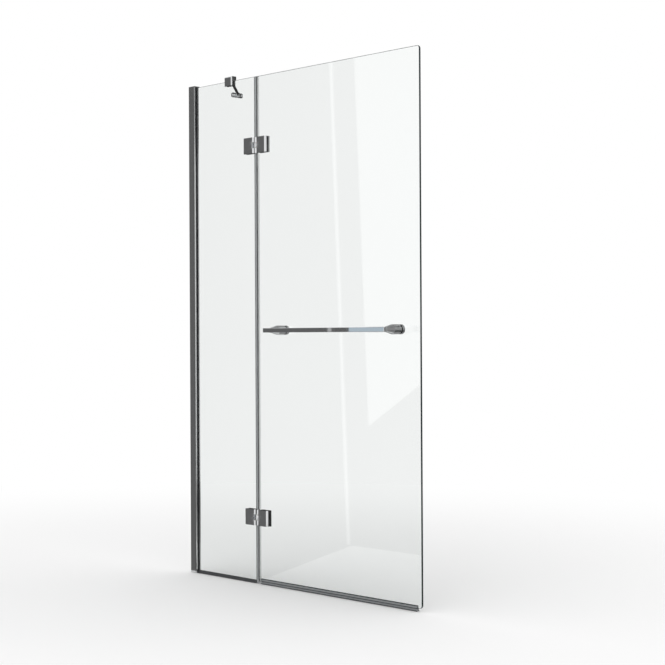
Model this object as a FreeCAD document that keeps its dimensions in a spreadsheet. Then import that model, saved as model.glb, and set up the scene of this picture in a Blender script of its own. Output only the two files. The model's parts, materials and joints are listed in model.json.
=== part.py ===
import FreeCAD, Part
import os

import Sketcher

# Bath screen in two glass panels: a fixed panel held in a wall channel and a door hung on it.
# X runs from the wall to the free edge, Y into the bath, Z up from the rim the screen stands on.
# The origin is at the foot of the wall channel's back face, in the middle of the glass.

SIZES = (
    # whole screen
    ("screen_reach", "900"),
    ("glass_top", "1400"),
    ("glass_thick", "6"),
    ("axis_reach", "285"),
    ("edge_gap", "4.8"),
    ("fit", "0.03"),
    ("overcut", "1"),
    # wall channel, fixed to the wall
    ("channel_deep", "20"),
    ("channel_wall", "1.6"),
    ("channel_web", "2"),
    ("channel_reach", "21.4"),
    ("channel_above", "2"),
    ("wall_hole_r", "2.6"),
    ("wall_hole_first", "101"),
    ("wall_hole_count", "4"),
    # glass carrier, which slides in the wall channel to take up an uneven wall
    ("slide_gap", "0.1"),
    ("carrier_wall", "1.5"),
    ("carrier_back", "7"),
    ("carrier_web", "2"),
    ("carrier_reach", "25"),
    ("nose_long", "3"),
    ("nose_lip", "1.4"),
    ("nose_hook", "0.8"),
    ("nose_round", "1.2"),
    ("pocket_gap", "2"),
    # glazing gaskets and end cap
    ("gasket_long", "8.5"),
    ("gasket_fit", "0.05"),
    ("gasket_proud", "0.6"),
    ("cap_thick", "3"),
    ("cap_plug", "8"),
    ("cap_fit", "0.2"),
    ("cap_round", "0.8"),
    # adjusting screws on the bath side, under snap-on caps
    ("adjust_at", "12"),
    ("adjust_end", "60"),
    ("adjust_count", "3"),
    ("adjust_r", "2"),
    ("adjust_long", "5.6"),
    ("adjust_head_r", "3.4"),
    ("adjust_head", "1.9"),
    ("cover_wall", "1.1"),
    ("cover_gap", "0.2"),
    ("cover_bevel", "0.9"),
    # strip under the fixed panel
    ("fixed_foot", "2"),
    ("strip_high", "9"),
    ("strip_wall", "1.15"),
    ("strip_gap", "0.4"),
    # door panel
    ("door_foot", "8"),
    ("door_corner", "9"),
    ("door_arris", "0.8"),
    # hinges
    ("hinge_low", "182.5"),
    ("hinge_from_top", "190"),
    ("hinge_tall", "44"),
    ("hinge_deep", "20"),
    ("fixed_reach", "43"),
    ("door_reach", "48"),
    ("leaf_bevel", "4.2"),
    ("edge_break", "0.7"),
    ("fixed_inner", "2"),
    ("door_inner", "11"),
    ("knuckle_r", "7.5"),
    ("knuckle_gap", "0.5"),
    ("tongue_room", "16"),
    ("boss_reach", "29"),
    ("boss_tall", "30"),
    ("boss_round", "4"),
    ("notch_gap", "1"),
    ("seam_gap", "0.25"),
    ("liner_thick", "1"),
    ("liner_inset", "0.5"),
    ("pin_r", "3"),
    ("pin_sunk", "1"),
    ("running_gap", "0.05"),
    ("bush_wall", "1.45"),
    ("bush_flange", "1"),
    ("bush_flange_r", "7"),
    ("bush_gap", "0.2"),
    ("leaf_screw_at", "20"),
    ("leaf_screw_pitch", "18"),
    ("leaf_screw_r", "2.5"),
    ("leaf_screw_long", "17"),
    ("screw_tip_gap", "0.12"),
    ("leaf_head_r", "4.6"),
    ("leaf_head", "2.5"),
    # seals on the door
    ("seal_clear", "0.3"),
    ("bulb_wall", "0.8"),
    ("clip_wall", "0.85"),
    ("clip_grip", "6"),
    ("seal_end_gap", "1"),
    ("seal_foot", "1"),
    ("sweep_grip", "7"),
    ("sweep_start", "8"),
    ("sweep_end", "15"),
    ("fin_clear", "0.5"),
    ("fin_thick", "1"),
    ("fin_spread", "4.2"),
    ("fin_root", "1.6"),
    # brace from the top of the fixed panel to the wall
    ("clamp_at", "174"),
    ("clamp_wide", "32"),
    ("clamp_deep", "18"),
    ("clamp_above", "13"),
    ("clamp_below", "13"),
    ("clamp_bevel", "2.5"),
    ("pad_thick", "1"),
    ("pad_inset", "1"),
    ("grip_screw_off", "10"),
    ("grip_screw_drop", "7"),
    ("grip_screw_r", "2.5"),
    ("arm_r", "4"),
    ("arm_bite", "2"),
    ("socket_r", "6.5"),
    ("socket_long", "9"),
    ("arm_stand", "9"),
    ("set_screw_r", "2"),
    ("set_screw_sunk", "0.4"),
    ("foot_wide", "42"),
    ("foot_tall", "14"),
    ("foot_thick", "4.5"),
    ("foot_corner", "4"),
    ("foot_knob_r", "6.8"),
    ("foot_knob_end", "15.8"),
    ("foot_knob_bevel", "3.2"),
    ("foot_knob_waist", "1.5"),
    ("foot_bite", "3"),
    ("foot_hole_r", "2.25"),
    ("foot_hole_pitch", "30"),
    ("foot_sink_r", "4.2"),
    ("foot_sink", "1.95"),
    # towel rail on the outside of the door
    ("rail_high", "698.5"),
    ("rail_start", "112"),
    ("rail_from_edge", "74.5"),
    ("rail_over", "12"),
    ("rail_stand", "62"),
    ("rail_side", "12"),
    ("rail_bevel", "0.8"),
    ("post_r", "12.5"),
    ("post_break", "0.6"),
    ("post_drum", "25"),
    ("post_neck", "2"),
    ("post_neck_r", "5.8"),
    ("stud_r", "3"),
    ("stud_gap", "0.2"),
    ("stud_bite", "4"),
    ("washer_thick", "1"),
    ("washer_inset", "0.3"),
    ("glass_hole_r", "6"),
    ("sleeve_gap", "0.1"),
    ("button_long", "8"),
    ("button_bevel", "1.2"),
    ("button_floor", "2"),
)


class Size:
    """A length that keeps both its number and the sheet formula that gives it."""

    def __init__(self, number, formula):
        self.number = float(number)
        self.formula = formula

    def __add__(self, other):
        other = as_size(other)
        return Size(self.number + other.number, f"({self.formula} + {other.formula})")

    def __sub__(self, other):
        other = as_size(other)
        return Size(self.number - other.number, f"({self.formula} - {other.formula})")

    def __mul__(self, other):
        other = as_size(other)
        return Size(self.number * other.number, f"({self.formula} * {other.formula})")

    def __truediv__(self, other):
        other = as_size(other)
        return Size(self.number / other.number, f"({self.formula} / {other.formula})")

    def __neg__(self):
        return Size(-self.number, f"(-{self.formula})")


class Sheet:
    """The driving sizes by name."""

    def __init__(self, doc):
        sheet = doc.addObject("Spreadsheet::Sheet", "Sizes")
        for row, (name, text) in enumerate(SIZES, 1):
            sheet.set(f"A{row}", text)
            sheet.setAlias(f"A{row}", name)
            setattr(self, name, Size(text, f"Sizes.{name}"))
        doc.recompute()


def as_size(value):
    """A plain number as a size, and a size as it is."""
    if isinstance(value, Size):
        return value
    return Size(value, repr(value))


doc = FreeCAD.newDocument("BathScreen")
S = Sheet(doc)
ZERO = as_size(0)
SUBPARTS = []

# places that several pieces share
HALF_GLASS = S.glass_thick / 2
HALF_CHANNEL = S.channel_deep / 2
CHANNEL_TOP = S.glass_top + S.channel_above
CARRIER_OUTER = HALF_CHANNEL - S.channel_wall - S.slide_gap
CARRIER_INNER = CARRIER_OUTER - S.carrier_wall
GLASS_START = S.carrier_back + S.carrier_web + S.pocket_gap
FIXED_EDGE = S.axis_reach - S.edge_gap
DOOR_EDGE = S.axis_reach + S.edge_gap
HINGE_HIGH = S.glass_top - S.hinge_from_top
HALF_TALL = S.hinge_tall / 2
HALF_DEEP = S.hinge_deep / 2
PLATE_INNER = HALF_GLASS + S.liner_thick
HALF_BOSS = S.boss_tall / 2
HALF_ROOM = S.tongue_room / 2
EAR_BACK = S.knuckle_r + S.knuckle_gap * 2
TONGUE_HALF = HALF_ROOM - S.bush_flange - S.bush_gap
BUSH_R = S.pin_r + S.running_gap + S.bush_wall
HALF_CLAMP = S.clamp_deep / 2
SLOT_HALF = HALF_GLASS + S.pad_thick
FOOT_Y = HALF_CLAMP + S.clamp_at - S.arm_stand
SOCKET_SCREW = S.socket_long / 4
POST_FOOT = HALF_GLASS + S.washer_thick
STUD_BORE = S.stud_r + S.stud_gap
RAIL_FIRST = S.axis_reach + S.rail_start
RAIL_LAST = S.screen_reach - S.rail_from_edge
RAIL_PITCH = RAIL_LAST - RAIL_FIRST
RAIL_HALF = S.rail_side / 2
RAIL_BACK = S.rail_stand - RAIL_HALF


# how edges are told apart: by place, and by the way they run
SAME_PLACE = 0.001
LONG_RUN = 1.0


# ---- helpers -------------------------------------------------------------------------------

def bind(thing, name, value):
    """Give a property its number and tie it to the sheet."""
    value = as_size(value)
    if "." not in name:
        setattr(thing, name, value.number)
    thing.setExpression(name, value.formula)


def new_body(label, x=ZERO, y=ZERO, z=ZERO):
    """A body of its own, at its place in the screen's frame."""
    body = doc.addObject("PartDesign::Body", label)
    body.Label = label
    body.Placement.Base = FreeCAD.Vector(x.number, y.number, z.number)
    for axis, value in (("x", x), ("y", y), ("z", z)):
        bind(body, f"Placement.Base.{axis}", value)
    SUBPARTS.append(body)
    return body


def plane_of(body, role):
    """One of the body's own origin planes."""
    return next(item for item in body.Origin.OriginFeatures if item.Role == role)


def new_sketch(body, role, x=ZERO, y=ZERO, lift=ZERO, turn=0):
    """A sketch on an origin plane, with its own origin moved by x, y and lift and turned about its y."""
    sketch = body.newObject("Sketcher::SketchObject", "Sketch")
    sketch.AttachmentSupport = (plane_of(body, role), [""])
    sketch.MapMode = "FlatFace"
    if turn:
        sketch.AttachmentOffset.Rotation = FreeCAD.Rotation(FreeCAD.Vector(0, 1, 0), turn)
    for axis, value in (("x", x), ("y", y), ("z", lift)):
        if value is not ZERO:
            bind(sketch, f"AttachmentOffset.Base.{axis}", value)
    return sketch


def pin_point(sketch, geometry, point, u, v):
    """Hold one point of a sketch at sizes from the sheet."""
    for kind, value in (("DistanceX", u), ("DistanceY", v)):
        value = as_size(value)
        index = sketch.addConstraint(Sketcher.Constraint(kind, -1, 1, geometry, point, value.number))
        if value.formula != "0":
            sketch.setExpression(f"Constraints[{index}]", value.formula)


def draw_outline(sketch, points):
    """A closed outline of straight sides through the points."""
    first = sketch.GeometryCount
    count = len(points)
    corners = [FreeCAD.Vector(as_size(u).number, as_size(v).number, 0) for u, v in points]
    sides = [Part.LineSegment(corners[i], corners[(i + 1) % count]) for i in range(count)]
    sketch.addGeometry(sides, False)
    joins = [
        Sketcher.Constraint("Coincident", first + i, 2, first + (i + 1) % count, 1)
        for i in range(count)
    ]
    sketch.addConstraint(joins)
    for i, (u, v) in enumerate(points):
        pin_point(sketch, first + i, 1, u, v)
    return sketch


def draw_box(sketch, left, right, low, high):
    """A rectangle from its four sides."""
    return draw_outline(sketch, [(left, low), (right, low), (right, high), (left, high)])


def draw_circle(sketch, radius, u=ZERO, v=ZERO):
    """A circle with its centre held."""
    centre = FreeCAD.Vector(u.number, v.number, 0)
    index = sketch.addGeometry(Part.Circle(centre, FreeCAD.Vector(0, 0, 1), radius.number), False)
    pin_point(sketch, index, 3, u, v)
    held = sketch.addConstraint(Sketcher.Constraint("Radius", index, radius.number))
    sketch.setExpression(f"Constraints[{held}]", radius.formula)
    return sketch


def mirrored_points(half):
    """The points and the same points across the first axis, in one run round the outline."""
    return half + [(u, -v) for u, v in reversed(half)]


def flipped(side, value):
    """The size as it is on the door's side of the hinge, and negative on the fixed side."""
    return value if side > 0 else -value


def add_pad(body, sketch, length, middle=False, away=False, other=None):
    """Material raised from a sketch: one way, the other way, about its middle, or both ways."""
    pad = body.newObject("PartDesign::Pad", "Pad")
    pad.Profile = sketch
    bind(pad, "Length", length)
    if middle:
        pad.SideType = "Symmetric"
    if other is not None:
        pad.SideType = "Two sides"
        bind(pad, "Length2", other)
    pad.Reversed = away
    doc.recompute()
    return pad


def add_cut(body, kind, sketch, **settings):
    """A pocket or groove, which has to take material away."""
    before = body.Shape.Volume
    cut = body.newObject(kind, "Cut")
    cut.Profile = sketch
    for name, value in settings.items():
        if isinstance(value, Size):
            bind(cut, name, value)
        else:
            setattr(cut, name, value)
    doc.recompute()
    if body.Shape.Volume >= before:
        raise RuntimeError(f"a cut in {body.Label} takes nothing away")
    return cut


def cut_through(body, sketch):
    """A pocket through everything, both ways."""
    return add_cut(body, "PartDesign::Pocket", sketch, Type="ThroughAll", SideType="Symmetric")


def cut_round(body, sketch, axis="V_Axis"):
    """A full groove about one of the sketch's own axes, the upright one as a rule."""
    return add_cut(
        body, "PartDesign::Groove", sketch, ReferenceAxis=(sketch, [axis]), Angle=360.0
    )


def turn_profile(body, sketch, axis="V_Axis"):
    """A full revolution about one of the sketch's own axes, the upright one as a rule."""
    turned = body.newObject("PartDesign::Revolution", "Turned")
    turned.Profile = sketch
    turned.ReferenceAxis = (sketch, [axis])
    turned.Angle = 360.0
    doc.recompute()
    return turned


def repeat(body, feature, sketch, axis, length, count):
    """The feature, or several, again in a row along one of the sketch's axes."""
    row = body.newObject("PartDesign::LinearPattern", "Row")
    row.Originals = feature if isinstance(feature, list) else [feature]
    row.Direction = (sketch, [axis])
    bind(row, "Length", length)
    count = as_size(count)
    row.Occurrences = int(count.number)
    row.setExpression("Occurrences", count.formula)
    body.Tip = row
    doc.recompute()
    return row


def mirror_over(body, feature, role):
    """The feature again across one of the body's origin planes."""
    mirror = body.newObject("PartDesign::Mirrored", "Mirror")
    mirror.Originals = [feature]
    mirror.MirrorPlane = (plane_of(body, role), [""])
    body.Tip = mirror
    doc.recompute()
    return mirror


def edges_where(feature, test):
    """Names of the feature's straight or round edges whose box passes the test."""
    base = feature.Shape
    return [f"Edge{i}" for i, edge in enumerate(base.Edges, 1) if test(edge.BoundBox)]


def ease_edges(body, kind, feature, size_name, value, test):
    """A fillet or chamfer on the edges that pass the test."""
    names = edges_where(feature, test)
    if not names:
        raise RuntimeError(f"no edge to ease on {body.Label}")
    eased = body.newObject(kind, "Eased")
    eased.Base = (feature, names)
    bind(eased, size_name, value)
    doc.recompute()
    return eased


def round_edges(body, feature, radius, test):
    return ease_edges(body, "PartDesign::Fillet", feature, "Radius", radius, test)


def bevel_edges(body, feature, size, test):
    return ease_edges(body, "PartDesign::Chamfer", feature, "Size", size, test)


def near(value, size):
    """Is a coordinate at this size?"""
    return abs(value - size.number) < SAME_PLACE


def flat_at(low, high, size):
    """Does an edge lie in one plane, at this size?"""
    return near(low, size) and near(high, size)


# ---- wall profile --------------------------------------------------------------------------

def wall_channel():
    """U channel on the wall, with a row of fixing holes in its web."""
    body = new_body("wall_channel")
    half = [
        (S.channel_web, HALF_CHANNEL - S.channel_wall),
        (S.channel_reach, HALF_CHANNEL - S.channel_wall),
        (S.channel_reach, HALF_CHANNEL),
        (ZERO, HALF_CHANNEL),
    ]
    add_pad(body, draw_outline(new_sketch(body, "XY_Plane"), mirrored_points(half)), CHANNEL_TOP)
    holes = draw_circle(new_sketch(body, "YZ_Plane"), S.wall_hole_r, v=S.wall_hole_first)
    hole = cut_through(body, holes)
    row_long = CHANNEL_TOP - S.wall_hole_first * 2
    repeat(body, hole, holes, "V_Axis", row_long, S.wall_hole_count)
    adjusting_holes(body, HALF_CHANNEL)


def glass_carrier():
    """The channel that holds the glass and slides in the wall channel, with a nosing at its mouth."""
    body = new_body("glass_carrier")
    lip = CARRIER_INNER - S.nose_hook
    half = [
        (S.carrier_back + S.carrier_web, CARRIER_INNER),
        (S.carrier_reach - S.nose_lip, CARRIER_INNER),
        (S.carrier_reach - S.nose_lip, lip),
        (S.carrier_reach, lip),
        (S.carrier_reach, HALF_CHANNEL),
        (S.carrier_reach - S.nose_long, HALF_CHANNEL),
        (S.carrier_reach - S.nose_long, CARRIER_OUTER),
        (S.carrier_back, CARRIER_OUTER),
    ]
    pad = add_pad(
        body, draw_outline(new_sketch(body, "XY_Plane"), mirrored_points(half)), CHANNEL_TOP
    )
    round_edges(
        body,
        pad,
        S.nose_round,
        lambda box: flat_at(box.XMin, box.XMax, S.carrier_reach)
        and box.ZLength > LONG_RUN
        and (near(box.YMin, HALF_CHANNEL) or near(box.YMin, -HALF_CHANNEL)),
    )
    adjusting_holes(body, CARRIER_OUTER)


def adjusting_holes(body, face):
    """Holes for the adjusting screws in the wall on the bath side."""
    sketch = new_sketch(body, "XZ_Plane", lift=-(face + S.overcut))
    draw_circle(sketch, S.adjust_r + S.fit, S.adjust_at, S.adjust_end)
    hole = add_cut(
        body, "PartDesign::Pocket", sketch, Length=S.channel_wall + S.carrier_wall, Reversed=True
    )
    repeat(body, hole, sketch, "V_Axis", CHANNEL_TOP - S.adjust_end * 2, S.adjust_count)


def glazing_gasket(label, side):
    """Wedge gasket between the glass and the carrier, with a lip that shows at the mouth."""
    body = new_body(label)
    inner = HALF_GLASS + S.gasket_fit
    back = CARRIER_INNER - S.gasket_fit
    front = CARRIER_INNER - S.nose_hook - S.gasket_fit
    step = S.carrier_reach - S.nose_lip - S.gasket_fit
    tip = S.carrier_reach + S.gasket_proud
    points = [
        (step - S.gasket_long, inner),
        (tip, inner),
        (tip, front),
        (step, front),
        (step, back),
        (step - S.gasket_long, back),
    ]
    points = [(u, flipped(side, v)) for u, v in points]
    add_pad(body, draw_outline(new_sketch(body, "XY_Plane"), points), S.glass_top)


def channel_top_cap():
    """Cap over both channels, with a plug in the space behind the carrier."""
    body = new_body("channel_top_cap")
    top = new_sketch(body, "XY_Plane", lift=CHANNEL_TOP)
    draw_box(top, ZERO, S.carrier_reach, -HALF_CHANNEL, HALF_CHANNEL)
    pad = add_pad(body, top, S.cap_thick)
    high = CHANNEL_TOP + S.cap_thick
    eased = round_edges(
        body, pad, S.cap_round, lambda box: flat_at(box.ZMin, box.ZMax, high) and box.XMax > LONG_RUN
    )
    body.Tip = eased
    plug = new_sketch(body, "XY_Plane", lift=CHANNEL_TOP)
    side = HALF_CHANNEL - S.channel_wall - S.cap_fit
    draw_box(plug, S.channel_web + S.cap_fit, S.carrier_back - S.cap_fit, -side, side)
    add_pad(body, plug, S.cap_plug, away=True)


def adjusting_screws():
    """Pan-head screws that lock the carrier in the wall channel."""
    body = new_body("adjusting_screws")
    sketch = new_sketch(body, "XY_Plane", x=S.adjust_at, lift=S.adjust_end)
    draw_outline(
        sketch,
        [
            (ZERO, HALF_CHANNEL - S.adjust_long),
            (S.adjust_r, HALF_CHANNEL - S.adjust_long),
            (S.adjust_r, HALF_CHANNEL),
            (S.adjust_head_r, HALF_CHANNEL),
            (S.adjust_head_r, HALF_CHANNEL + S.adjust_head / 2),
            (S.adjust_r, HALF_CHANNEL + S.adjust_head),
            (ZERO, HALF_CHANNEL + S.adjust_head),
        ],
    )
    screw = turn_profile(body, sketch)
    repeat(body, screw, sketch, "N_Axis", CHANNEL_TOP - S.adjust_end * 2, S.adjust_count)


def screw_covers():
    """Snap-on caps over the adjusting screws."""
    body = new_body("screw_cover_caps")
    sketch = new_sketch(body, "XY_Plane", x=S.adjust_at, lift=S.adjust_end)
    bore = S.adjust_head_r + S.cover_gap
    floor = HALF_CHANNEL + S.adjust_head + S.cover_gap
    outer = bore + S.cover_wall
    top = floor + S.cover_wall
    draw_outline(
        sketch,
        [
            (bore, HALF_CHANNEL),
            (outer, HALF_CHANNEL),
            (outer, top - S.cover_bevel),
            (outer - S.cover_bevel, top),
            (ZERO, top),
            (ZERO, floor),
            (bore, floor),
        ],
    )
    cover = turn_profile(body, sketch)
    repeat(body, cover, sketch, "N_Axis", CHANNEL_TOP - S.adjust_end * 2, S.adjust_count)


# ---- glass ---------------------------------------------------------------------------------

def notch_points(side, centre):
    """Round one hinge's notch, from low to high: a wide shallow step for the knuckles and a deep one."""
    edge = S.axis_reach + flipped(side, S.edge_gap)
    step_reach = S.knuckle_r + S.notch_gap if side > 0 else EAR_BACK + S.knuckle_gap
    step = S.axis_reach + flipped(side, step_reach)
    deep = S.axis_reach + flipped(side, S.boss_reach + S.notch_gap)
    wide = HALF_TALL + S.knuckle_gap
    narrow = HALF_BOSS + S.notch_gap
    return [
        (edge, centre - wide),
        (step, centre - wide),
        (step, centre - narrow),
        (deep, centre - narrow),
        (deep, centre + narrow),
        (step, centre + narrow),
        (step, centre + wide),
        (edge, centre + wide),
    ]


def notch_corners(side):
    """A test for the inner corners of the deep notches."""
    deep = S.axis_reach + flipped(side, S.boss_reach + S.notch_gap)
    return lambda box: flat_at(box.XMin, box.XMax, deep) and box.YLength > LONG_RUN


def fixed_glass():
    """The panel that stands in the carrier, cut out for the two hinges."""
    body = new_body("fixed_glass")
    points = [(GLASS_START, S.fixed_foot), (FIXED_EDGE, S.fixed_foot)]
    points += notch_points(-1, S.hinge_low) + notch_points(-1, HINGE_HIGH)
    points += [(FIXED_EDGE, S.glass_top), (GLASS_START, S.glass_top)]
    sketch = draw_outline(new_sketch(body, "XZ_Plane"), points)
    pad = add_pad(body, sketch, S.glass_thick, middle=True)
    round_edges(body, pad, S.boss_round, notch_corners(-1))


def door_glass():
    """The swinging panel, with round free corners, hinge notches and two holes for the rail."""
    body = new_body("door_glass")
    points = [(DOOR_EDGE, S.door_foot)]
    points += notch_points(1, S.hinge_low) + notch_points(1, HINGE_HIGH)
    points += [
        (DOOR_EDGE, S.glass_top),
        (S.screen_reach, S.glass_top),
        (S.screen_reach, S.door_foot),
    ]
    sketch = draw_outline(new_sketch(body, "XZ_Plane"), points)
    pad = add_pad(body, sketch, S.glass_thick, middle=True)
    corners = round_edges(body, pad, S.boss_round, notch_corners(1))
    corners = round_edges(
        body,
        corners,
        S.door_corner,
        lambda box: flat_at(box.XMin, box.XMax, S.screen_reach) and box.YLength > LONG_RUN,
    )
    bevel_edges(
        body,
        corners,
        S.door_arris,
        lambda box: flat_at(box.XMin, box.XMax, S.screen_reach) and box.ZLength > LONG_RUN,
    )
    holes = new_sketch(body, "XZ_Plane")
    draw_circle(holes, S.glass_hole_r, RAIL_FIRST, S.rail_high)
    hole = cut_through(body, holes)
    repeat(body, hole, holes, "H_Axis", RAIL_PITCH, 2)


def fixed_base_strip():
    """U strip that beds the fixed panel on the rim."""
    body = new_body("fixed_base_strip")
    start = S.carrier_reach + S.gasket_proud + S.strip_gap
    inner = HALF_GLASS + S.gasket_fit
    outer = inner + S.strip_wall
    half = [(inner, S.fixed_foot), (inner, S.strip_high), (outer, S.strip_high), (outer, ZERO)]
    points = half + [(-u, v) for u, v in reversed(half)]
    sketch = draw_outline(new_sketch(body, "YZ_Plane", lift=start), points)
    add_pad(body, sketch, FIXED_EDGE - start)


# ---- hinges --------------------------------------------------------------------------------

def reach_of(side):
    """How far the leaf on this side runs from the axis."""
    return S.door_reach if side > 0 else S.fixed_reach


def leaf_screw_sketch(body, start, height=ZERO):
    """A sketch whose upright axis is the axis of the lower screw in one leaf."""
    return new_sketch(body, "XY_Plane", x=start, lift=height - S.leaf_screw_pitch / 2)


def leaf_screw_row(body, feature, sketch):
    """The second screw, hole or sink above the first."""
    repeat(body, feature, sketch, "N_Axis", S.leaf_screw_pitch, 2)


def screw_profile(grow, tip_gap):
    """Half the outline of a countersunk screw, with its head flush in the back plate."""
    tip = HALF_DEEP - S.leaf_screw_long - tip_gap
    return [
        (ZERO, tip),
        (S.leaf_screw_r + grow, tip),
        (S.leaf_screw_r + grow, HALF_DEEP - S.leaf_head),
        (S.leaf_head_r + grow, HALF_DEEP),
        (ZERO, HALF_DEEP),
    ]


def leaf_screw_holes(body, side):
    """Screw holes, sunk where they meet the back of the leaf."""
    sketch = leaf_screw_sketch(body, flipped(side, S.leaf_screw_at))
    draw_outline(sketch, screw_profile(S.fit, S.screw_tip_gap))
    leaf_screw_row(body, cut_round(body, sketch), sketch)


def leaf_boss(body, side, inner):
    """The block that fills the glass notch and takes the screws."""
    boss = new_sketch(body, "XZ_Plane")
    draw_box(boss, flipped(side, S.boss_reach), flipped(side, inner), -HALF_BOSS, HALF_BOSS)
    pad = add_pad(body, boss, PLATE_INNER * 2, middle=True)
    reach = flipped(side, S.boss_reach)
    round_edges(
        body,
        pad,
        S.boss_round,
        lambda box: flat_at(box.XMin, box.XMax, reach) and box.YLength > LONG_RUN,
    )


def fixed_leaf(name, height):
    """The leaf on the fixed panel: front plate, cheek and two ears, all one piece."""
    body = new_body(f"{name}_fixed_leaf", x=S.axis_reach, z=height)
    plan = new_sketch(body, "XY_Plane")
    draw_outline(
        plan,
        [
            (-S.fixed_reach, -PLATE_INNER),
            (-S.fixed_reach, S.edge_break - HALF_DEEP),
            (S.edge_break - S.fixed_reach, -HALF_DEEP),
            (-(S.fixed_inner + S.leaf_bevel), -HALF_DEEP),
            (-S.fixed_inner, S.leaf_bevel - HALF_DEEP),
            (-S.fixed_inner, HALF_DEEP - S.leaf_bevel),
            (-(S.fixed_inner + S.leaf_bevel), HALF_DEEP),
            (-EAR_BACK, HALF_DEEP),
            (-EAR_BACK, -PLATE_INNER),
        ],
    )
    add_pad(body, plan, S.hinge_tall, middle=True)
    ears = draw_circle(new_sketch(body, "XY_Plane"), S.knuckle_r)
    add_pad(body, ears, S.hinge_tall, middle=True)
    leaf_boss(body, -1, S.fixed_inner + S.knuckle_gap)
    room = new_sketch(body, "XZ_Plane")
    clear = S.knuckle_r + S.knuckle_gap
    draw_box(room, -clear, clear, -HALF_ROOM, HALF_ROOM)
    cut_through(body, room)
    bore = draw_circle(new_sketch(body, "XY_Plane"), S.pin_r + S.fit)
    cut_through(body, bore)
    leaf_screw_holes(body, -1)


def door_leaf(name, height):
    """The leaf on the door: front plate, block and the tongue that turns on the pin."""
    body = new_body(f"{name}_door_leaf", x=S.axis_reach, z=height)
    plan = new_sketch(body, "XY_Plane")
    draw_outline(
        plan,
        [
            (S.door_inner, -PLATE_INNER),
            (S.door_inner, S.edge_break - HALF_DEEP),
            (S.door_inner + S.edge_break, -HALF_DEEP),
            (S.door_reach - S.leaf_bevel, -HALF_DEEP),
            (S.door_reach, S.leaf_bevel - HALF_DEEP),
            (S.door_reach, -PLATE_INNER),
        ],
    )
    add_pad(body, plan, S.hinge_tall, middle=True)
    leaf_boss(body, 1, S.door_inner)
    neck = new_sketch(body, "XY_Plane")
    draw_box(neck, ZERO, S.door_inner, -S.knuckle_r, S.knuckle_r)
    add_pad(body, neck, TONGUE_HALF * 2, middle=True)
    tongue = draw_circle(new_sketch(body, "XY_Plane"), S.knuckle_r)
    add_pad(body, tongue, TONGUE_HALF * 2, middle=True)
    bore = draw_circle(new_sketch(body, "XY_Plane"), BUSH_R + S.fit)
    cut_through(body, bore)
    leaf_screw_holes(body, 1)


def back_plate(name, height, side, inner):
    """The clamping plate on the bath side of one leaf."""
    word = "door" if side > 0 else "fixed"
    body = new_body(f"{name}_{word}_back_plate", x=S.axis_reach, z=height)
    reach = reach_of(side)
    points = [
        (inner, PLATE_INNER),
        (reach, PLATE_INNER),
        (reach, HALF_DEEP - S.edge_break),
        (reach - S.edge_break, HALF_DEEP),
        (inner, HALF_DEEP),
    ]
    points = [(flipped(side, u), v) for u, v in points]
    plan = draw_outline(new_sketch(body, "XY_Plane"), points)
    add_pad(body, plan, S.hinge_tall, middle=True)
    leaf_screw_holes(body, side)


def leaf_liners(name, height, side, inner):
    """Soft C-shaped liners between one leaf and both faces of the glass."""
    word = "door" if side > 0 else "fixed"
    body = new_body(f"{name}_{word}_liners", x=S.axis_reach, z=height)
    outer = reach_of(side) - S.liner_inset
    deep = S.boss_reach + S.notch_gap
    high = HALF_TALL - S.liner_inset
    narrow = HALF_BOSS + S.notch_gap
    half = [(inner, narrow), (inner, high), (outer, high)]
    half = [(deep, narrow)] + half
    points = [(flipped(side, u), v) for u, v in half]
    points = points + [(u, -v) for u, v in reversed(points)]
    sketch = draw_outline(new_sketch(body, "XZ_Plane", lift=HALF_GLASS), points)
    mirror_over(body, add_pad(body, sketch, S.liner_thick), "XZ_Plane")


def leaf_screws(label, side):
    """The countersunk screws that close the leaves of both hinges on one panel."""
    body = new_body(label, x=S.axis_reach)
    for height in (S.hinge_low, HINGE_HIGH):
        sketch = leaf_screw_sketch(body, flipped(side, S.leaf_screw_at), height)
        draw_outline(sketch, screw_profile(ZERO, ZERO))
        leaf_screw_row(body, turn_profile(body, sketch), sketch)


def hinge_pin(name, height):
    """Pin held in the ears, a little below their ends."""
    body = new_body(f"{name}_pin", x=S.axis_reach, z=height)
    section = draw_circle(new_sketch(body, "XY_Plane"), S.pin_r)
    add_pad(body, section, S.hinge_tall - S.pin_sunk * 2, middle=True)


def hinge_bushes(name, height):
    """Flanged bushes pressed into the tongue from above and below."""
    body = new_body(f"{name}_bushes", x=S.axis_reach, z=height)
    bore = S.pin_r + S.running_gap
    sketch = draw_outline(
        new_sketch(body, "XZ_Plane"),
        [
            (bore, S.running_gap),
            (BUSH_R, S.running_gap),
            (BUSH_R, TONGUE_HALF),
            (S.bush_flange_r, TONGUE_HALF),
            (S.bush_flange_r, TONGUE_HALF + S.bush_flange),
            (bore, TONGUE_HALF + S.bush_flange),
        ],
    )
    mirror_over(body, turn_profile(body, sketch), "XY_Plane")


def hinge(name, height):
    """One glass-to-glass hinge at its height."""
    fixed_leaf(name, height)
    door_leaf(name, height)
    back_plate(name, height, -1, EAR_BACK + S.seam_gap)
    back_plate(name, height, 1, S.door_inner)
    leaf_liners(name, height, -1, EAR_BACK + S.knuckle_gap)
    leaf_liners(name, height, 1, S.door_inner + S.liner_inset)
    hinge_pin(name, height)
    hinge_bushes(name, height)


# ---- seals ---------------------------------------------------------------------------------

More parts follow.
